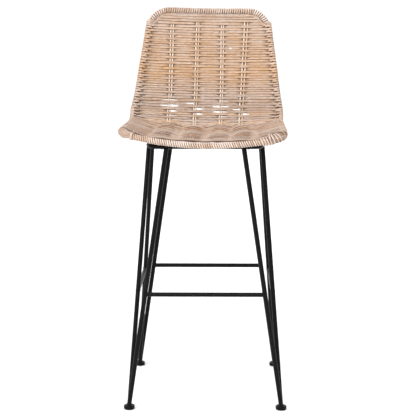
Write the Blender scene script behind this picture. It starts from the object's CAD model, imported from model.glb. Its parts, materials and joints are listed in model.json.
"""Bar stool with a woven cane bucket seat on a black rod base: its looks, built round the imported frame."""

import json
import math
import random

import bpy
import numpy as np
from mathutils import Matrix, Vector


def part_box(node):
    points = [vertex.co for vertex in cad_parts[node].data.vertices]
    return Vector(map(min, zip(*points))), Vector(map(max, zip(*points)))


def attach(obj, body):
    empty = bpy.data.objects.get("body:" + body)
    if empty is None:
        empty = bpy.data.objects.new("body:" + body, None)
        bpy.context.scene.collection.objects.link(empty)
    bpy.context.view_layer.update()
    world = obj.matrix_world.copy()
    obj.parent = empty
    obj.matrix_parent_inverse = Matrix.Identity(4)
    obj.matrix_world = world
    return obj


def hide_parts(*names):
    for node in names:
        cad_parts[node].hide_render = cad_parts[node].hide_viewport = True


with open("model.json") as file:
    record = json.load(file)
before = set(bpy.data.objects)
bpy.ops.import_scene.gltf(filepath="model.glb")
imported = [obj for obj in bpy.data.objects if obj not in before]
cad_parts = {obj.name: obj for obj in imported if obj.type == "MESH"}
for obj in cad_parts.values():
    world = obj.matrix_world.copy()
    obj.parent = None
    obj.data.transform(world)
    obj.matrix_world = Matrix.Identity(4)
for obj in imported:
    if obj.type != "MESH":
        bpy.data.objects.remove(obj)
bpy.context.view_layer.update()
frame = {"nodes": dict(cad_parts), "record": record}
nodes = frame["nodes"]
MM = 0.001

# Driving dimensions of the parts, in metres and radians
ROD_R = 6.25 * MM
LEAN = math.radians(12)
TAPER = math.radians(8)
BEND_R = 70 * MM
BEND_ANGLE = math.pi / 2 - LEAN
BEND_LEN = BEND_R * BEND_ANGLE
CORNER_R = 65 * MM
RIM_CORNER_R = 24 * MM
SIDE_POLE_R = 6 * MM
TOP_POLE_R = 6 * MM
RIM_POLE_R = 4.5 * MM
SHELL_HALF = 4.5 * MM
STAKE_R = 2.6 * MM
CANE_R = 2.1 * MM
RAIL_WOUND_R = TOP_POLE_R + 3.8 * MM
LEFT, RIGHT = -1, 1

# How the hand-made seat sits crooked on its base: only its lower part is pushed and spread
ROLL = math.radians(0.9)
CROOKED_FROM = 30 * MM
CROOKED_FADE = 90 * MM
PUSH_REAR = 2.0 * MM
PUSH_FRONT = 4.5 * MM
BEND_SPREAD = 1.5 * MM
LEFT_LIFT = 3 * MM

# Tubes: sides of a cane and of a pole, and how their shade runs round them
TUBE_SIDES = 8
POLE_SIDES = 12
DARK_SIDE = 0.95
BACK_SHADE = 0.9
SHADE_SOFTNESS = 0.95
SHADE_BASE = 0.2


def span(name):
    """Lowest and highest corner of a CAD node."""
    low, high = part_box(name)
    return np.array(low, float), np.array(high, float)


def middle(name):
    low, high = span(name)
    return (low + high) / 2


# The shell's middle surface, measured from the frame
side_low = span("left_side_pole")[0]
seat_low = span("woven_seat")[0]
bend_low = span("woven_bend")[0]
top_high = span("top_rail_pole")[1]
HALF_W = -side_low[0] - SIDE_POLE_R
PAN_Z = seat_low[2] + SHELL_HALF
SAG = side_low[2] + SIDE_POLE_R - PAN_Z
ARC_R = (HALF_W**2 + SAG**2) / (2 * SAG)
POLE_FRONT_Y = side_low[1]
BEND_CENTRE = np.array([0, bend_low[1], PAN_Z + BEND_R])
PAN_START = seat_low[1] - bend_low[1]
RIM_Y = middle("front_rim_pole")[1]


def rise(x):
    """How far the shell's arc stands above its middle."""
    x = np.minimum(np.abs(x), HALF_W)
    return ARC_R - np.sqrt(ARC_R**2 - x * x)


def top_corner(back_len):
    """Where the top rail's corner bends are centred, across and up the slope."""
    up = back_len - CORNER_R
    return HALF_W - (CORNER_R + up * math.sin(TAPER)) / math.cos(TAPER), up


BACK_LOW_Z = BEND_CENTRE[2] - BEND_R * math.sin(LEAN)
BACK_LEN = top_high[2] - BACK_LOW_Z
for _ in range(4):
    CORNER_X, CORNER_S = top_corner(BACK_LEN)
    rail_z = top_high[2] - TOP_POLE_R - float(rise(CORNER_X)) * math.sin(LEAN)
    BACK_LEN = (rail_z - BACK_LOW_Z) / math.cos(LEAN)
TOP_TURN = math.asin(CORNER_X / ARC_R)
HEAD_X = CORNER_X + CORNER_R * math.cos(TAPER) * math.cos(TOP_TURN)
HEAD_S = CORNER_S + CORNER_R * math.sin(TAPER)


def unit(v):
    return v / np.linalg.norm(v, axis=-1, keepdims=True)


def shell(x, t):
    """Points, normals and upward directions of the shell, t metres up from the pan's rear edge."""
    x, t = np.broadcast_arrays(np.asarray(x, float), np.asarray(t, float))
    angle = np.clip(t / BEND_R, 0, BEND_ANGLE)
    straight = np.minimum(t, 0) + np.maximum(t - BEND_LEN, 0)
    zero = np.zeros_like(x)
    up = np.stack([zero, np.cos(angle), np.sin(angle)], -1)
    inward = np.stack([zero, -np.sin(angle), np.cos(angle)], -1)
    points = BEND_CENTRE - inward * (BEND_R - rise(x))[..., None] + up * straight[..., None]
    points[..., 0] = x
    normal = inward.copy()
    normal[..., 0] = -x / np.sqrt(ARC_R**2 - np.minimum(np.abs(x), HALF_W) ** 2)
    return points, unit(normal), up


def half_width(t):
    """Half of the distance between the side poles at a height t, round the corners too."""
    t = np.asarray(t, float)
    s = np.maximum(t - BEND_LEN, 0)
    corner = CORNER_X + np.sqrt(np.maximum(CORNER_R**2 - (s - CORNER_S) ** 2, 0))
    half = np.where(s > HEAD_S, corner, HALF_W - s * (HALF_W - HEAD_X) / HEAD_S)
    short = np.clip(RIM_CORNER_R - (t + BEND_CENTRE[1] - RIM_Y), 0, RIM_CORNER_R)
    return half - RIM_CORNER_R + np.sqrt(RIM_CORNER_R**2 - short**2)


def rail_underside(x):
    """Height t of the lower edge of the wound top rail at x."""
    inner = CORNER_R - RAIL_WOUND_R
    u = np.maximum(np.abs(x) - CORNER_X, 0)
    return BEND_LEN + CORNER_S + np.sqrt(np.maximum(inner**2 - u * u, 0))


def smooth(u):
    u = np.clip(u, 0, 1)
    return u * u * (3 - 2 * u)


def settle(points):
    """Rolls the seat to one side, pushes its front to the left and spreads its bend."""
    points = points.copy()
    x, y, z = points.T
    forward = np.clip((BEND_CENTRE[1] - y) / (BEND_CENTRE[1] - POLE_FRONT_Y), 0, 1)
    low = 1 - smooth((z - PAN_Z - CROOKED_FROM) / CROOKED_FADE)
    push = -low * (PUSH_REAR + PUSH_FRONT * forward**2)
    spread = BEND_SPREAD * low * ((1 - forward) ** 2 - forward**2) * x / HALF_W
    lift = LEFT_LIFT * forward**2 * np.clip(-x / HALF_W, 0, 1)
    points[:, 0] = x + (z - PAN_Z) * math.sin(ROLL) + push + spread
    points[:, 2] = z - x * math.sin(ROLL) + lift
    return points


class Mesh:
    """Collects tubes into one piece. Their tone holds shade, gold and a random number."""

    def __init__(self):
        self.verts, self.faces, self.uvs, self.tones = [], [], [], []
        self.count = 0

    def tube(
        self, path, facing, across, deep=None, tone=(0.0, 0.5), sides=TUBE_SIDES, dark_side=0.0, bright=1.0
    ):
        """A closed tube along path. across and deep are its half sizes along the surface and facing."""
        path = np.asarray(path, float)
        n = len(path)
        across = np.broadcast_to(np.asarray(across, float), (n,))
        deep = across if deep is None else np.broadcast_to(np.asarray(deep, float), (n,))
        run = unit(np.gradient(path, axis=0))
        side = unit(np.cross(run, facing))
        out = np.cross(side, run)
        turn = np.arange(sides) * (2 * math.pi / sides)
        ring = (
            path[:, None]
            + (across[:, None] * np.cos(turn))[..., None] * side[:, None]
            + (deep[:, None] * np.sin(turn))[..., None] * out[:, None]
        )
        length = np.concatenate([[0], np.cumsum(np.linalg.norm(np.diff(path, axis=0), axis=1))])
        faced = np.maximum(np.sin(turn), -BACK_SHADE * np.sin(turn))
        lit = smooth((faced - dark_side * np.cos(turn) + SHADE_BASE * (1 + abs(dark_side))) / SHADE_SOFTNESS)
        base = self.count
        self.verts.append(ring.reshape(-1, 3))
        i = np.repeat(np.arange(n - 1), sides)
        j = np.tile(np.arange(sides), n - 1)
        k = (j + 1) % sides
        quads = np.stack([i * sides + j, i * sides + k, (i + 1) * sides + k, (i + 1) * sides + j], -1)
        self.faces += (quads + base).tolist()
        u = np.stack([j, j + 1, j + 1, j], -1) / sides
        v = np.stack([length[i], length[i], length[i + 1], length[i + 1]], -1)
        self.uvs.append(np.stack([u, v], -1).reshape(-1, 2))
        last = base + (n - 1) * sides
        self.faces += [list(range(base, base + sides))[::-1], list(range(last, last + sides))]
        for at in (0, length[-1]):
            self.uvs.append(np.stack([np.arange(sides) / sides, np.full(sides, at)], -1))
        tones = np.ones((n, sides, 4))
        tones[..., 0] = lit * np.broadcast_to(np.asarray(bright, float), (n,))[:, None]
        tones[..., 1:3] = tone
        self.tones.append(tones.reshape(-1, 4))
        self.count += n * sides

    def build(self, name, slot, material, *replaced, crooked=True):
        mesh = bpy.data.meshes.new(name)
        verts = np.concatenate(self.verts)
        verts = settle(verts) if crooked else verts
        mesh.from_pydata(verts.tolist(), [], self.faces)
        layer = mesh.uv_layers.new(name="length_map")
        layer.data.foreach_set("uv", np.concatenate(self.uvs).ravel())
        tone = mesh.attributes.new("tone", "FLOAT_COLOR", "POINT")
        tone.data.foreach_set("color", np.concatenate(self.tones).ravel())
        mesh.polygons.foreach_set("use_smooth", [len(f) == 4 for f in self.faces])
        mesh.materials.append(material)
        piece = bpy.data.objects.new(name, mesh)
        bpy.context.scene.collection.objects.link(piece)
        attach(piece, "root")
        if replaced:
            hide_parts(*replaced)
        return piece


# ---------------------------------------------------------------- materials


class Nodes:
    """A few shortcuts for building a material's node tree."""

    def __init__(self, name):
        self.material = bpy.data.materials.new(name)
        self.material.use_nodes = True
        self.tree = self.material.node_tree
        self.shader = self.tree.nodes["Principled BSDF"]

    def add(self, kind, **inputs):
        node = self.tree.nodes.new("ShaderNode" + kind)
        for key, value in inputs.items():
            self.put(node, key.replace("_", " "), value)
        return node

    def put(self, node, key, value):
        socket = node.inputs[key]
        if isinstance(value, bpy.types.NodeSocket):
            self.tree.links.new(value, socket)
        else:
            socket.default_value = value

    def math(self, operation, a, b=0.5, c=0.5):
        node = self.tree.nodes.new("ShaderNodeMath")
        node.operation = operation
        for i, value in enumerate((a, b, c)):
            self.put(node, i, value)
        return node.outputs[0]

    def noise(self, vector, scale, detail=3.0):
        return self.add("TexNoise", Vector=vector, Scale=scale, Detail=detail).outputs["Fac"]

    def ramp(self, value, low, high):
        """0 below low, 1 above high."""
        node = self.add("MapRange", Value=value)
        node.inputs["From Min"].default_value = low
        node.inputs["From Max"].default_value = high
        return node.outputs["Result"]

    def mix(self, amount, a, b):
        node = self.tree.nodes.new("ShaderNodeMix")
        node.data_type = "RGBA"
        self.put(node, 0, amount)
        self.put(node, 6, a)
        self.put(node, 7, b)
        return node.outputs[2]

    def stretched(self, vector, x, y, z):
        return self.add("Mapping", Vector=vector, Scale=(x, y, z)).outputs["Vector"]

    def bump(self, height, strength, distance):
        node = self.add("Bump", Height=height, Strength=strength, Distance=distance)
        self.put(self.shader, "Normal", node.outputs["Normal"])


def rgb(r, g, b):
    """A display colour of 0 to 255 as linear light."""
    return tuple(((c / 255 + 0.055) / 1.055) ** 2.4 for c in (r, g, b)) + (1.0,)


FLECK_BROWN = rgb(84, 52, 30)
GOLD_CREVICE = rgb(126, 76, 38)


def cane_material(name, pale, deep, gold, wash, crevice):
    """Peeled cane: lengthwise grain, a chalky wash, stained crevices and a tone for each cane."""
    m = Nodes(name)
    length = m.tree.nodes.new("ShaderNodeUVMap")
    length.uv_map = "length_map"
    tone = m.tree.nodes.new("ShaderNodeAttribute")
    tone.attribute_name = "tone"
    lit, golden, chance = m.add("SeparateColor", Color=tone.outputs["Color"]).outputs
    place = m.add("TexCoord").outputs["Object"]
    shifted = m.add("CombineXYZ", X=m.math("MULTIPLY", chance, 37.0), Y=m.math("MULTIPLY", chance, 91.0))
    moved = m.tree.nodes.new("ShaderNodeVectorMath")
    m.put(moved, 0, length.outputs["UV"])
    m.put(moved, 1, shifted.outputs["Vector"])
    moved = moved.outputs["Vector"]
    grain = m.noise(m.stretched(moved, 7.0, 30.0, 1.0), 3.0, 5.0)
    patch = m.noise(m.stretched(moved, 1.2, 14.0, 1.0), 1.6, 3.0)
    broad = m.noise(place, 16.0, 2.0)
    light = m.math("FRACT", m.math("MULTIPLY", chance, 7.31))
    light = m.math("MULTIPLY_ADD", patch, 0.8, m.math("MULTIPLY_ADD", light, 1.0, -0.35))
    colour = m.mix(m.ramp(light, 0.0, 1.0), deep, pale)
    gilded = m.ramp(m.math("ADD", golden, m.math("MULTIPLY", patch, 0.5)), 0.35, 1.15)
    colour = m.mix(gilded, colour, gold)
    washed = m.ramp(m.math("ADD", patch, m.math("MULTIPLY", broad, 0.5)), 0.66, 0.98)
    colour = m.mix(m.math("MULTIPLY", washed, 0.6), colour, wash)
    streak = m.ramp(grain, 0.34, 0.72)
    colour = m.mix(streak, m.mix(0.6, colour, crevice), colour)
    fleck = m.ramp(m.noise(m.stretched(moved, 3.0, 60.0, 1.0), 2.2, 2.0), 0.70, 0.77)
    colour = m.mix(m.math("MULTIPLY", fleck, 0.8), colour, FLECK_BROWN)
    stain = m.mix(gilded, crevice, GOLD_CREVICE)
    colour = m.mix(lit, stain, colour)
    m.put(m.shader, "Base Color", colour)
    m.put(m.shader, "Roughness", m.math("MULTIPLY_ADD", grain, 0.25, 0.4))
    m.shader.inputs["Specular IOR Level"].default_value = 0.4
    m.bump(m.math("ADD", grain, m.math("MULTIPLY", patch, 0.6)), 0.5, 0.0006)
    return m.material


def pole_material(name, pale, deep):
    """A rattan pole or a planed slat: long grain and soft blotches in the object's own space."""
    m = Nodes(name)
    place = m.add("TexCoord").outputs["Object"]
    grain = m.noise(m.stretched(place, 160.0, 18.0, 160.0), 1.0, 4.0)
    blotch = m.noise(place, 22.0, 3.0)
    cloudy = m.math("MULTIPLY_ADD", grain, 0.7, m.math("MULTIPLY", blotch, 0.3))
    colour = m.mix(m.ramp(cloudy, 0.3, 0.7), deep, pale)
    m.put(m.shader, "Base Color", colour)
    m.put(m.shader, "Roughness", m.math("MULTIPLY_ADD", blotch, 0.2, 0.45))
    m.bump(grain, 0.35, 0.0004)
    return m.material


def coated_steel(name, base, worn, roughness):
    """Black powder coat: fine orange peel, faint cloudiness and small rubbed spots."""
    m = Nodes(name)
    place = m.add("TexCoord").outputs["Object"]
    peel = m.noise(place, 900.0, 2.0)
    cloud = m.noise(place, 14.0, 3.0)
    rubbed = m.ramp(m.noise(place, 130.0, 4.0), 0.66, 0.82)
    colour = m.mix(m.math("MULTIPLY", rubbed, 0.5), base, worn)
    m.put(m.shader, "Base Color", colour)
    m.put(m.shader, "Roughness", m.math("MULTIPLY_ADD", cloud, 0.16, roughness))
    m.shader.inputs["Specular IOR Level"].default_value = 0.1
    m.bump(peel, 0.12, 0.0002)
    return m.material


def moulded_plastic(name):
    m = Nodes(name)
    place = m.add("TexCoord").outputs["Object"]
    scuff = m.noise(place, 240.0, 4.0)
    m.put(m.shader, "Base Color", m.mix(m.ramp(scuff, 0.5, 0.8), rgb(30, 30, 32), rgb(62, 61, 60)))
    m.put(m.shader, "Roughness", m.math("MULTIPLY_ADD", scuff, 0.3, 0.45))
    m.bump(scuff, 0.2, 0.0002)
    return m.material


def pale_floor(name):
    m = Nodes(name)
    place = m.add("TexCoord").outputs["Object"]
    soft = m.noise(place, 0.8, 2.0)
    m.put(m.shader, "Base Color", m.mix(soft, (0.93, 0.93, 0.93, 1), (0.96, 0.96, 0.955, 1)))
    m.put(m.shader, "Roughness", m.math("MULTIPLY_ADD", soft, 0.1, 0.8))
    return m.material


BLACK = coated_steel("black_powder_coat", rgb(9, 9, 11), rgb(58, 58, 64), 0.3)
HARDWARE = coated_steel("black_oxide", rgb(30, 30, 33), rgb(120, 118, 116), 0.34)
PLASTIC = moulded_plastic("black_plastic")
POLE = pole_material("rattan_pole", rgb(150, 108, 72), rgb(104, 68, 42))
SLAT = pole_material("slat_wood", rgb(176, 134, 90), rgb(118, 80, 48))
WEAVE = cane_material(
    "woven_cane",
    pale=rgb(232, 210, 192),
    deep=rgb(202, 170, 144),
    gold=rgb(228, 184, 134),
    wash=rgb(240, 230, 222),
    crevice=rgb(86, 54, 36),
)
RIM = cane_material(
    "wound_cane",
    pale=rgb(242, 222, 207),
    deep=rgb(214, 184, 160),
    gold=rgb(228, 192, 156),
    wash=rgb(248, 238, 230),
    crevice=rgb(98, 62, 40),
)
STAKE = cane_material(
    "stake_cane",
    pale=rgb(255, 242, 224),
    deep=rgb(238, 200, 158),
    gold=rgb(244, 196, 134),
    wash=rgb(255, 248, 240),
    crevice=rgb(96, 46, 18),
)


# ---------------------------------------------------------------- the weave

dice = random.Random(7)
WOBBLE_PEAK = 1.4


def wobble(length, size, waves):
    """A slow random wave along a cane, as a function of its length."""
    total = np.zeros_like(length)
    for k in (1, 2, 3):
        height = dice.uniform(0.6, 1.0) / k
        phase = dice.uniform(0, 2 * math.pi)
        total = total + height * np.sin(length * (k * waves) + phase)
    return total * size / WOBBLE_PEAK


STAKE_NODES = ("outer_left_stakes", "inner_left_stakes", "inner_right_stakes", "outer_right_stakes")
STAKE_X = [middle(n)[0] for n in STAKE_NODES]
PAIR_HALF = (3.6 * MM, 3.5 * MM, 3.3 * MM, 4.4 * MM)
STAKE_PITCH = STAKE_X[1] - STAKE_X[0]
# The weaver pushed the stakes a little aside as the seat grew: at the front, at the bend and at the top
STAKE_DRIFT = [
    (-2 * MM, -2 * MM, 1 * MM),
    (4 * MM, 1 * MM, 4 * MM),
    (4 * MM, 5 * MM, 4 * MM),
    (-9 * MM, -9 * MM, 3 * MM),
]
TOP_T = BEND_LEN + BACK_LEN
TOP_ROW_T = TOP_T - RAIL_WOUND_R - 2 * CANE_R
FIRST_ROW_T = PAN_START - 3.5 * MM
PAN_PITCH = 9.2 * MM
BACK_PITCH = 7.5 * MM
PITCH_SWING = 0.95 * MM
TIGHT_BAND_S = 248 * MM
TIGHT_BANDS_APART = 116 * MM
# Where the canes turn golden, as heights up the back, and how golden they are there
GOLD_HEIGHTS = (20 * MM, 90 * MM, 230 * MM, 290 * MM)
GOLD_LEVELS = (-0.05, 0.42, 0.42, 0.25)
GOLD_BAND_S = 118 * MM
GOLD_BAND_HALF = 38 * MM
# Low on the back the weave is drawn open beside the stakes it passes behind: where, how far, how wide
GAP_ZONE = (BEND_LEN - 30 * MM, BEND_LEN - 14 * MM, BEND_LEN + 24 * MM, BEND_LEN + 40 * MM)
GAP_SPREAD = 3.6 * MM
GAP_REACH = 26 * MM
# Above this height the rows crowd together on the end of the side pole
FAN_T = BEND_LEN + 262 * MM
# How far a cane stands off the shell where it passes a stake, and where the seat bulges
OVER_BACK = 2.6 * MM
OVER_PAN = 2.4 * MM
OVER_RIM = 2 * MM
RIM_LIFT = 1.2 * MM
SCALLOP = 8 * MM
RIDGE = 27 * MM
RIDGE_HEIGHT = 1.5 * MM
# Lengths over which a cane crosses from one side of the shell to the other
SLOPE_BACK = 18 * MM
SLOPE_PAN = 32 * MM
EDGE_SLOPE = 16 * MM
ROUND_POLE = SIDE_POLE_R + CANE_R
# Steps along a cane across the shell and round a pole
CROSS_STEPS = 112
WRAP_STEPS = 24
STEP_LEN = 5 * MM
# A cane's radius and its distance from the middle of its row, as shares of the pitch
CANE_SHARE = 0.298
LANE_SHARE = 0.24
THICKEST_CANE_R = 2.45 * MM
# How much of that distance is left where the cane turns round a pole, and above the pole's end
WRAP_LANES = 0.8
FAN_LANES = 0.4
# The shade beside a stake, and how often a cane is broken
STAKE_SHADOW = 0.6
SHADOW_FADE = 5 * MM
BREAK_CHANCE = 0.025
# Below the top rail: rows that follow its edge, and rows that pass in front of every stake
TOP_ROWS = 55 * MM
TOP_FRONT_ROWS = 34 * MM


def stake_x(i, t):
    return STAKE_X[i] + np.interp(t, [PAN_START, BEND_LEN, TOP_T], STAKE_DRIFT[i])


def row_pitch(t):
    """Rows are packed tighter in two bands of the back and lie wider on the seat."""
    s = t - BEND_LEN
    wave = math.cos(2 * math.pi * (s - TIGHT_BAND_S) / TIGHT_BANDS_APART)
    return BACK_PITCH + PITCH_SWING * wave if s > -20 * MM else PAN_PITCH


def row_heights():
    """Where each row crosses the middle of the shell, from the front rim to the top rail."""
    t = FIRST_ROW_T
    heights = []
    while t < TOP_ROW_T:
        heights.append(t)
        t += row_pitch(t)
    slack = (TOP_ROW_T - heights[-1]) / (TOP_ROW_T - BEND_LEN)
    return [h + max(h - BEND_LEN, 0) * slack for h in heights]


def cane_tone(t):
    """Gold and a random number for a cane at a height t: the middle of the back is the most golden."""
    s = t - BEND_LEN
    band = math.exp(-(((s - GOLD_BAND_S) / GOLD_BAND_HALF) ** 2))
    base = float(np.interp(s, GOLD_HEIGHTS, GOLD_LEVELS))
    gold = base + 0.35 * band + dice.uniform(-0.2, 0.2)
    if s < 12 * MM and dice.random() < 0.13:
        gold = 0.7
    return (min(max(gold, 0), 1), dice.random())


def hump(distance, flat, slope):
    """1 within flat, falling smoothly to 0 over slope."""
    return 1 - smooth((np.abs(distance) - flat) / slope)


RIM_HANG = 7.2 * MM
RIM_HANG_RIGHT = 1.3 * MM


def rim_drop(ends):
    """How much lower the front rim hangs towards its ends than the bend of its pole."""
    return (RIM_HANG + RIM_HANG_RIGHT * ends) * ends**2


def scallop(x, t):
    """The seat bulges along each pair of stakes and dips between them."""
    seat = smooth((t - PAN_START - 30 * MM) / (110 * MM)) * (1 - smooth((t - 25 * MM) / (50 * MM)))
    phase = (x - stake_x(1, t)) / STAKE_PITCH * math.pi
    return SCALLOP * seat * np.abs(np.cos(phase)) ** 0.8 * hump(x, 1.6 * STAKE_PITCH, 0.9 * STAKE_PITCH)


def weave_offset(x, t, forward, row_front):
    """How far a weaver stands in front of the shell's middle surface, and the stakes it passes behind."""
    w = float(half_width(wrap_height(t)))
    starts = LEFT if forward else RIGHT
    on_back = float(smooth(t / BEND_LEN))
    raised = 1 - float(smooth((-t - 60 * MM) / (150 * MM)))
    over = OVER_RIM + (OVER_PAN - OVER_RIM) * raised
    over = over + (OVER_BACK - over) * on_back
    slope = SLOPE_PAN + (SLOPE_BACK - SLOPE_PAN) * on_back
    rising = EDGE_SLOPE * (5 - 3 * on_back)
    offset = (ROUND_POLE + wrap_extra(t)) * hump(x + starts * w, 0, rising)
    offset = offset - ROUND_POLE * hump(x - starts * w, 0, EDGE_SLOPE)
    ridge = RIDGE_HEIGHT * raised * (1 - on_back) * math.sin(t / RIDGE * 2 * math.pi)
    inboard = 1 - smooth((np.abs(x) - w + 30 * MM) / (30 * MM))
    by_rim = float(1 - smooth((t - PAN_START) / (50 * MM)))
    offset = offset + (RIM_LIFT - rim_drop(x / HALF_W) * inboard) * by_rim
    offset = offset + scallop(x, t) + ridge * hump(x, 0.6 * w, 0.35 * w)
    behind = []
    for k, i in enumerate(range(4) if forward else range(3, -1, -1)):
        place = float(stake_x(i, t))
        in_front = k % 2 == 0 or row_front
        flat = PAIR_HALF[i] + STAKE_R * on_back
        offset = offset + (over if in_front else -over) * hump(x - place, flat, slope)
        if not in_front:
            behind.append((place, PAIR_HALF[i]))
    return offset, behind


def gap_amount(t):
    """How far the weave is drawn open at a height t."""
    return float(np.interp(t, GAP_ZONE, (0, 1, 1, 0)))


def wrap_height(t):
    """Rows above the side pole's end are drawn down and crowd together on the pole."""
    return t if t < FAN_T else FAN_T - 3 * MM + (t - FAN_T) * 0.2


def drawn_under_rail(x, height):
    """The top rows follow the lower edge of the rail and close up towards its corners."""
    closing = 1 - 0.75 * smooth((np.abs(x) - CORNER_X + 40 * MM) / (90 * MM))
    return np.minimum(height, rail_underside(x) - (TOP_T - RAIL_WOUND_R - height) * closing)


def wrap_extra(t):
    """The canes lie thicker round the side poles of the seat than round those of the back."""
    front = 1 + float(smooth((t - PAN_START) / (120 * MM)))
    return front * MM * (1 - float(smooth((t - BEND_LEN + 20 * MM) / (60 * MM))))


def weaver(mesh, t, t_next, forward, lane, pitch, opens, row_front=False):
    """One cane of a row: from behind one side pole, across the stakes, 1.5 times round the other."""
    way = 1 if forward else -1
    w = float(half_width(wrap_height(t)))
    u = np.linspace(-1, 1, CROSS_STEPS)
    x = way * w * (0.88 * u + 0.12 * np.sin(u * math.pi / 2))
    offset, behind = weave_offset(x, t, forward, row_front)
    shift = lane * LANE_SHARE * pitch
    height = t + shift + wobble(x, 0.3 * MM, 17.0)
    low = wrap_height(t) + shift * (WRAP_LANES if t < FAN_T else FAN_LANES)
    if t > TOP_T - TOP_ROWS:
        height = drawn_under_rail(x, height)
    height = height + (low - height) * smooth((np.abs(x) - w + 26 * MM) / (22 * MM))
    for (place, pair_half), spreads in zip(behind, opens):
        for side, opened in zip((LEFT, RIGHT), spreads):
            beside = np.clip(1 - np.maximum(side * (x - place) - pair_half, 0) / GAP_REACH, 0, 1)
            beside = beside * (side * (x - place) > 0)
            height = height + lane * GAP_SPREAD * gap_amount(t) * opened * beside**0.8
    offset = offset + wobble(x, 0.3 * MM, 23.0)
    points, normal, _ = shell(x, height)
    level = smooth(t / BEND_LEN)
    push = unit(normal * (1 - level) + np.array([0, -1.0, 0]) * level)
    points = points + push * offset[:, None]

    phi = np.linspace(0, 3 * math.pi, WRAP_STEPS + 1)[1:]
    climb = np.clip((phi - math.pi / 2) / (1.5 * math.pi), 0, 1)
    turn_t = low + (wrap_height(t_next) - wrap_height(t)) * climb
    axis, face, up = shell(way * half_width(turn_t), turn_t)
    outward = np.cross(up, face)
    outward = unit(outward * np.sign(outward[:, :1] * way))
    extra = wrap_extra(t) + max(t - FAN_T, 0) * 0.1
    bulge = ROUND_POLE + extra + 0.6 * MM * np.sin(phi / 3) + dice.uniform(0, 0.7) * MM
    radial = face * np.cos(phi)[:, None] + outward * np.sin(phi)[:, None]
    turns = axis + radial * bulge[:, None]

    path = np.concatenate([points, turns])
    facing = np.concatenate([normal, radial])
    radius = min(CANE_SHARE * pitch, THICKEST_CANE_R) * dice.uniform(0.94, 1.06)
    along = np.arange(len(path)) * STEP_LEN
    radius = radius + wobble(along, 0.14 * MM, 40.0)
    tone = cane_tone(t)
    banded = 0.1 * math.sin(t / RIDGE * 4.4) if t < 60 * MM else 0.0
    bright = (1.0 if t > BEND_LEN else 0.94) * dice.uniform(0.88, 1.0) + banded
    shade = np.full(len(path), bright)
    for place, pair_half in behind:
        shade[:CROSS_STEPS] *= 1 - STAKE_SHADOW * hump(x - place, pair_half + STAKE_R, SHADOW_FADE)
    for a, b in unbroken(len(path)):
        darker = -DARK_SIDE * lane * way
        mesh.tube(path[a:b], facing[a:b], radius[a:b], tone=tone, dark_side=darker, bright=shade[a:b])


def unbroken(count):
    """Now and then a cane ran out and the next one starts a little further on."""
    if dice.random() > BREAK_CHANCE:
        return [(0, count)]
    at = dice.randrange(10, CROSS_STEPS - 12)
    return [(0, at), (at + dice.choice((1, 1, 2)), count)]


def weave_panels():
    """Every row of the shell, gathered into the panels that the CAD keeps apart."""
    panels = {"seat": Mesh(), "bend": Mesh(), "back": Mesh()}
    heights = row_heights()
    for r, t in enumerate(heights):
        t_next = heights[r + 1] if r + 1 < len(heights) else t + BACK_PITCH
        panel = "seat" if t < 0 else ("bend" if t < BEND_LEN else "back")
        row_front = t > TOP_T - TOP_FRONT_ROWS or r < 2
        opens = [[dice.choice((0.0, 0.7, 1.1)) for _ in (LEFT, RIGHT)] for _ in range(2)]
        pitch = t_next - t
        for lane in (-1, 1):
            weaver(panels[panel], t, t_next, r % 2 == 0, lane, pitch, opens, row_front)
    panels["seat"].build("seat_weave", "woven_cane", WEAVE, "woven_seat")
    panels["bend"].build("bend_weave", "woven_cane", WEAVE, "woven_bend")
    panels["back"].build("back_weave", "woven_cane", WEAVE, "woven_back")


def stakes():
    """Four pairs of canes up the shell, each a little bowed between the rows."""
    for i, name in enumerate(STAKE_NODES):
        mesh = Mesh()
        for side in (LEFT, RIGHT):
            t = np.linspace(PAN_START + 2 * MM, TOP_T - 9 * MM, 170)
            x = stake_x(i, t) + side * PAIR_HALF[i] + wobble(t, 0.5 * MM, 60.0)
            points, normal, _ = shell(x, t)
            forward = 0.7 * MM * smooth(t / BEND_LEN) + wobble(t, 0.3 * MM, 90.0)
            forward = forward + scallop(x, t)
            points = points + normal * forward[:, None]
            mesh.tube(points, normal, STAKE_R + wobble(t, 0.1 * MM, 120.0), tone=(0.15, dice.random()))
        mesh.build(name + "_canes", "stake_cane", STAKE, name)


# ---------------------------------------------------------------- wound rims

WIND_STEPS = 18
TURNS_A_CANE = 9
# Where the front rim's winding starts and ends, from the ends of its pole
LEFT_RUN = 11 * MM
CORNER_RUN = 18 * MM
CORNER_LEAD = CORNER_RUN * 0.4
WING_TAIL = 34 * MM
WING_STRANDS = 15
# How far each front corner lies in from its side pole and below the rim's end
WING_INSET = {LEFT: 0.5 * MM, RIGHT: 7 * MM}
WING_DROP = {LEFT: 0.8 * MM, RIGHT: 0.5 * MM}


def top_rail_path(steps):
    """Points along the top rail's axis from its left end to its right end, with outward directions."""
    arc_half = TOP_TURN
    corner = math.pi / 2 - TAPER
    points, outs = [], []
    for k in range(steps):
        u = 2 * k / (steps - 1) - 1
        side = LEFT if u < 0 else RIGHT
        run = abs(u) * (ARC_R * arc_half + CORNER_R * corner)
        if run < ARC_R * arc_half:
            a = run / ARC_R
            local = np.array([side * ARC_R * math.sin(a), -(ARC_R - ARC_R * math.cos(a)), BACK_LEN])
            out = np.array([0, 0, 1.0])
        else:
            b = (run - ARC_R * arc_half) / CORNER_R
            across = CORNER_R * math.sin(b)
            local = np.array([
                side * (CORNER_X + across * math.cos(TOP_TURN)),
                -float(rise(CORNER_X)) - across * math.sin(TOP_TURN),
                CORNER_S + CORNER_R * math.cos(b),
            ])
            flat = math.sin(b)
            out = np.array([side * flat * math.cos(TOP_TURN), -flat * math.sin(TOP_TURN), math.cos(b)])
        points.append(local)
        outs.append(out)
    return from_back(np.array(points), True), from_back(np.array(outs), False)


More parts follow.
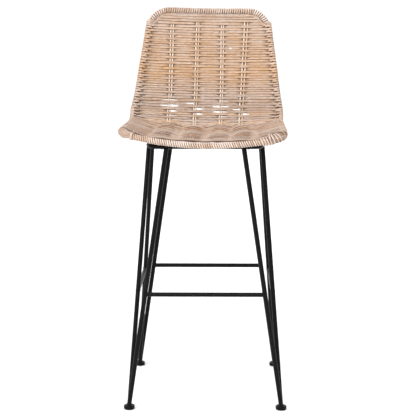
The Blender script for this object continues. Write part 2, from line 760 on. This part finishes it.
def from_back(v, is_point):
    """Turns a vector from the sloping frame of the back into the row frame."""
    turned = np.stack([
        v[:, 0],
        v[:, 1] * math.cos(LEAN) + v[:, 2] * math.sin(LEAN),
        -v[:, 1] * math.sin(LEAN) + v[:, 2] * math.cos(LEAN),
    ], -1)
    if not is_point:
        return turned
    return turned + np.array([0, BEND_CENTRE[1] + BEND_R * math.cos(LEAN), BACK_LOW_Z])


def front_rim_path(steps):
    """Points along the front rim's axis, from the middle height and the ends of its pole in the frame."""
    low, high = span("front_rim_pole")
    y = (low[1] + high[1]) / 2
    reach = high[0] - RIM_POLE_R * 0.3
    bottom = low[2] + RIM_POLE_R
    climb = (high[2] - low[2]) - 2 * RIM_POLE_R
    radius = (reach**2 + climb**2) / (2 * climb)
    half = math.asin(reach / radius)
    a = np.linspace(-half, half, steps)
    points = np.stack([radius * np.sin(a), np.full(steps, y), bottom + radius * (1 - np.cos(a))], -1)
    points[:, 2] -= rim_drop(points[:, 0] / reach)
    outs = np.stack([np.sin(a), np.zeros(steps), -np.cos(a)], -1)
    return points, outs


def wind(mesh, axis, outs, reach, pole_r, width, thick, pitch, lean=0.0, bright=1.0):
    """A flat cane wound round a pole between two lengths along its axis, each turn leaning over by lean."""
    start, end = reach
    length = np.concatenate([[0], np.cumsum(np.linalg.norm(np.diff(axis, axis=0), axis=1))])
    turns = (end - start) / pitch
    count = int(turns * WIND_STEPS)
    along = np.linspace(start, end, count)
    along = along + wobble(along, 0.5 * MM, 55.0)
    angle = math.pi + np.linspace(0, turns * 2 * math.pi, count)
    along = along + lean * np.cos(angle)
    centre = np.stack([np.interp(along, length, axis[:, k]) for k in range(3)], -1)
    run = np.gradient(axis, axis=0)
    run = unit(np.stack([np.interp(along, length, run[:, k]) for k in range(3)], -1))
    out = np.stack([np.interp(along, length, outs[:, k]) for k in range(3)], -1)
    out = unit(out - run * (out * run).sum(-1, keepdims=True))
    third = np.cross(run, out)
    radial = out * np.cos(angle)[:, None] + third * np.sin(angle)[:, None]
    lift = pole_r + thick / 2 + wobble(along, 0.25 * MM, 130.0)
    path = centre + radial * np.reshape(lift, (-1, 1))
    wide = width / 2 * (1 + 0.1 * np.sin(along * 310.0) * np.sin(along * 97.0))
    pieces = max(1, int(turns / TURNS_A_CANE))
    cuts = np.linspace(0, count - 1, pieces + 1).astype(int)
    for a, b in zip(cuts[:-1], cuts[1:]):
        tone = (max(0, dice.uniform(-0.2, 0.2)), dice.random())
        mesh.tube(path[a:b + 1], radial[a:b + 1], wide[a:b + 1], thick / 2, tone=tone, bright=bright)


def axis_length(axis):
    return float(np.linalg.norm(np.diff(axis, axis=0), axis=1).sum())


def rim_windings():
    """Flat canes wound round the top rail, the front rim and the seat's front corners."""
    top = Mesh()
    axis, outs = top_rail_path(240)
    reach = (4 * MM, axis_length(axis) - 4 * MM)
    cane = {"width": 5.6 * MM, "thick": 3.9 * MM, "pitch": 6.8 * MM, "lean": 2.4 * MM, "bright": 0.92}
    wind(top, axis, outs, reach, TOP_POLE_R, **cane)
    top.build("top_rail_winding", "binding_cane", RIM, "top_rim_binding")

    front = Mesh()
    axis, outs = front_rim_path(200)
    total = axis_length(axis)
    reach = (LEFT_RUN, total - CORNER_RUN)
    cane = {"width": 5.0 * MM, "thick": 4.4 * MM, "pitch": 6.1 * MM, "lean": 1.6 * MM}
    wind(front, axis, outs, reach, RIM_POLE_R, **cane)
    knot_r = RIM_POLE_R + 3.6 * MM
    reach = (total - 50 * MM, total - 22 * MM)
    cane = {"width": 5.2 * MM, "thick": 3.8 * MM, "pitch": 7.4 * MM, "lean": 2 * MM, "bright": 0.9}
    wind(front, axis, outs, reach, knot_r, **cane)
    wing_r = SIDE_POLE_R + 4.2 * MM
    cane = {"width": 5.4 * MM, "thick": 3.6 * MM, "pitch": 7.6 * MM, "lean": 2 * MM, "bright": 0.84}
    for side, share in ((LEFT, 0.25), (RIGHT, 1.3)):
        corner, corner_outs = rim_corner_path(side, 60)
        reach = (0, share * RIM_CORNER_R)
        wind(front, corner, corner_outs, reach, wing_r, **cane)
    front.build("front_rim_winding", "binding_cane", RIM, "front_rim_binding")


def rim_corner_path(side, steps):
    """From the end of the front rim round the seat's front corner and back along the side pole."""
    axis, _ = front_rim_path(200)
    rim_end = axis[0] if side == LEFT else axis[-1]
    inset = WING_INSET[side]
    start = np.array([side * (HALF_W - RIM_CORNER_R - inset), rim_end[1], rim_end[2] - WING_DROP[side]])
    arc = RIM_CORNER_R * math.pi / 2
    total = CORNER_LEAD + arc + WING_TAIL
    run = np.linspace(0, total, steps)
    lead = np.minimum(run, CORNER_LEAD)
    a = np.clip(run - CORNER_LEAD, 0, arc) / RIM_CORNER_R
    tail = np.maximum(run - CORNER_LEAD - arc, 0)
    outward = inset * smooth(run / (total - 16 * MM))
    x = start[0] + side * (lead - CORNER_LEAD + RIM_CORNER_R * np.sin(a) + outward)
    y = start[1] + RIM_CORNER_R * (1 - np.cos(a)) + tail
    z = start[2] + (PAN_Z + SAG - start[2]) * smooth(run / (total - 20 * MM))
    path_outs = np.stack([side * np.sin(a) * 0.4, -np.cos(a) * 0.4, -np.ones(steps)], -1)
    return np.stack([x, y, z], -1), unit(path_outs)


def wing_tips():
    """Canes laid side by side round each front corner of the seat, from the rim to the side pole."""
    for side, name in ((LEFT, "left"), (RIGHT, "right")):
        mesh = Mesh()
        axis, outs = rim_corner_path(side, 48)
        run = unit(np.gradient(axis, axis=0))
        third = unit(np.cross(run, outs))
        lift = unit(np.cross(third, run))
        u = np.linspace(0, 1, len(axis))
        radius = (6.2 + 4.2 * smooth(u / 0.45) - 3.4 * smooth((u - 0.55) / 0.4)) * MM
        for k in range(WING_STRANDS):
            angle = 2 * math.pi * k / WING_STRANDS + 0.5 * u
            radial = lift * np.cos(angle)[:, None] + third * np.sin(angle)[:, None]
            path = axis + radial * (radius + wobble(u, 0.3 * MM, 9.0))[:, None]
            thick = 2.2 * MM + 0.6 * MM * smooth(u / 0.5)
            tone = (dice.uniform(0, 0.2), dice.random())
            mesh.tube(path, radial, thick, tone=tone, bright=dice.uniform(0.56, 0.74))
        mesh.build(name + "_wing_winding", "woven_cane", WEAVE)


def poles():
    """The bent poles inside the weave and the windings."""
    for side, name in ((LEFT, "left_side_pole"), (RIGHT, "right_side_pole")):
        mesh = Mesh()
        t = np.linspace(POLE_FRONT_Y + RIM_CORNER_R - BEND_CENTRE[1], BEND_LEN + HEAD_S, 120)
        points, normal, _ = shell(side * half_width(t), t)
        mesh.tube(points, normal, SIDE_POLE_R, sides=POLE_SIDES)
        mesh.build(name + "_cane", "rattan_pole", POLE, name)
    rims = ((top_rail_path, TOP_POLE_R, "top_rail_pole"), (front_rim_path, RIM_POLE_R, "front_rim_pole"))
    for path, radius, name in rims:
        mesh = Mesh()
        points, outs = path(120)
        mesh.tube(points, outs, radius, sides=POLE_SIDES)
        mesh.build(name + "_cane", "rattan_pole", POLE, name)


# ---------------------------------------------------------------- base

BEAD_R = 1.3 * MM
CROSS_BEAD_R = 1.2 * MM


def bead(mesh, centre, axis, radius, size):
    """A lumpy ring of weld round a rod."""
    axis = unit(np.asarray(axis, float))
    helper = np.array([0, 0, 1.0]) if abs(axis[2]) < 0.9 else np.array([1.0, 0, 0])
    u = unit(np.cross(axis, helper))
    v = np.cross(axis, u)
    a = np.linspace(0, 2 * math.pi * 1.02, 40)
    radial = u * np.cos(a)[:, None] + v * np.sin(a)[:, None]
    lump = size * (1 + 0.18 * np.sin(a * 13 + dice.uniform(0, 6)))
    mesh.tube(centre + radial * radius, radial, lump, sides=6)


def rod_ends(name, radius):
    """The two ends of a slanting leg rod, from its box: its foot is at the outer lower corner."""
    low, high = span(name)
    foot = middle(name.replace("_end_rod", "_foot").replace("_side_rod", "_foot"))
    sx = 1 if foot[0] > 0 else -1
    sy = 1 if foot[1] > (middle("front_rail")[1] + middle("rear_rail")[1]) / 2 else -1
    x = (high[0] - radius, low[0] + radius) if sx > 0 else (low[0] + radius, high[0] - radius)
    y = (high[1] - radius, low[1] + radius) if sy > 0 else (low[1] + radius, high[1] - radius)
    return np.array([x[0], y[0], low[2]]), np.array([x[1], y[1], high[2]])


def welds():
    """A bead at both ends of each leg rod and of each cross rod."""
    mesh = Mesh()
    for end in ("front", "rear"):
        for side in ("left", "right"):
            for kind in ("end", "side"):
                foot, head = rod_ends(f"{end}_{side}_{kind}_rod", ROD_R)
                run = unit(head - foot)
                bead(mesh, foot + run * 1.2 * MM, run, ROD_R, BEAD_R)
                bead(mesh, head - run * 5.5 * MM, run, ROD_R, BEAD_R)
    for name, axis in (("footrest", 0), ("rear_stretcher", 0), ("left_stretcher", 1), ("right_stretcher", 1)):
        low, high = span(name)
        centre = (low + high) / 2
        radius = (high[2] - low[2]) / 2
        for at in (low[axis] + 2.0 * MM, high[axis] - 2.0 * MM):
            place = centre.copy()
            place[axis] = at
            bead(mesh, place, np.eye(3)[axis], radius, CROSS_BEAD_R)
    mesh.build("weld_beads", "black_steel", BLACK, crooked=False)


def finish_frame():
    """Gives every CAD node that shows its own material."""
    looks = {
        "black_steel": BLACK,
        "zinc_steel": HARDWARE,
        "glide_plastic": PLASTIC,
        "rattan_pole": POLE,
        "slat_wood": SLAT,
        "stake_cane": STAKE,
        "woven_cane": WEAVE,
        "binding_cane": RIM,
    }
    slots = {part["node"]: part["material_slot"] for part in frame["record"]["subparts"]}
    for name, obj in nodes.items():
        obj.data.materials.clear()
        obj.data.materials.append(looks[slots[name]])


# ---------------------------------------------------------------- studio

FLOOR_HALF = 14.0
SUN_STRENGTH = 2.6
KEY_WATTS = 26
CAMERA_X = 0.0463
CAMERA_BACK = 3.2086
CAMERA_Z = 1.0237
LENS_MM = 98.04
LOOKS_DOWN = math.radians(8.78)
LOOKS_LEFT = math.radians(0.73)


def area_light(name, place, target, size, energy, colour):
    data = bpy.data.lights.new(name, "AREA")
    data.shape = "SQUARE"
    data.size = size
    data.energy = energy
    data.color = colour
    lamp = bpy.data.objects.new(name, data)
    lamp.location = place
    lamp.rotation_euler = (Vector(target) - Vector(place)).to_track_quat("-Z", "Y").to_euler()
    bpy.context.scene.collection.objects.link(lamp)


def studio():
    scene = bpy.context.scene
    mesh = bpy.data.meshes.new("floor")
    half = FLOOR_HALF
    corners = [(-half, -half, 0), (half, -half, 0), (half, half, 0), (-half, half, 0)]
    mesh.from_pydata(corners, [], [(0, 1, 2, 3)])
    mesh.materials.append(pale_floor("floor_white"))
    floor = bpy.data.objects.new("floor", mesh)
    scene.collection.objects.link(floor)
    world = bpy.data.worlds.new("studio_white")
    world.use_nodes = True
    tree = world.node_tree
    where = tree.nodes.new("ShaderNodeTexCoord")
    split = tree.nodes.new("ShaderNodeSeparateXYZ")
    fade = tree.nodes.new("ShaderNodeMapRange")
    tree.links.new(where.outputs["Generated"], split.inputs["Vector"])
    tree.links.new(split.outputs["Y"], fade.inputs["Value"])
    for socket, value in (("From Min", 0.1), ("From Max", 0.7), ("To Min", 0.75), ("To Max", 1.1)):
        fade.inputs[socket].default_value = value
    background = tree.nodes["Background"]
    background.inputs["Color"].default_value = (1, 1, 1, 1)
    tree.links.new(fade.outputs["Result"], background.inputs["Strength"])
    scene.world = world
    sun = bpy.data.lights.new("sky_panel", "SUN")
    sun.energy = SUN_STRENGTH
    sun.angle = math.radians(75)
    lamp = bpy.data.objects.new("sky_panel", sun)
    lamp.rotation_euler = (math.radians(42), math.radians(-14), 0)
    scene.collection.objects.link(lamp)
    area_light("key", (-1.9, -2.6, 2.2), (0, 0, 0.85), 1.4, KEY_WATTS, (1.0, 0.99, 0.97))
    scene.view_settings.view_transform = "Standard"


def camera():
    """The camera stands in front of the base's middle, a little to the right, and looks slightly down."""
    base_y = (middle("front_left_foot")[1] + middle("rear_left_foot")[1]) / 2
    data = bpy.data.cameras.new("camera")
    data.sensor_width = 36.0
    data.lens = LENS_MM
    cam = bpy.data.objects.new("camera", data)
    cam.location = (CAMERA_X, base_y - CAMERA_BACK, CAMERA_Z)
    cam.rotation_euler = (math.pi / 2 - LOOKS_DOWN, 0.0, LOOKS_LEFT)
    bpy.context.scene.collection.objects.link(cam)
    bpy.context.scene.camera = cam


finish_frame()
weave_panels()
stakes()
poles()
rim_windings()
wing_tips()
welds()
studio()
camera()
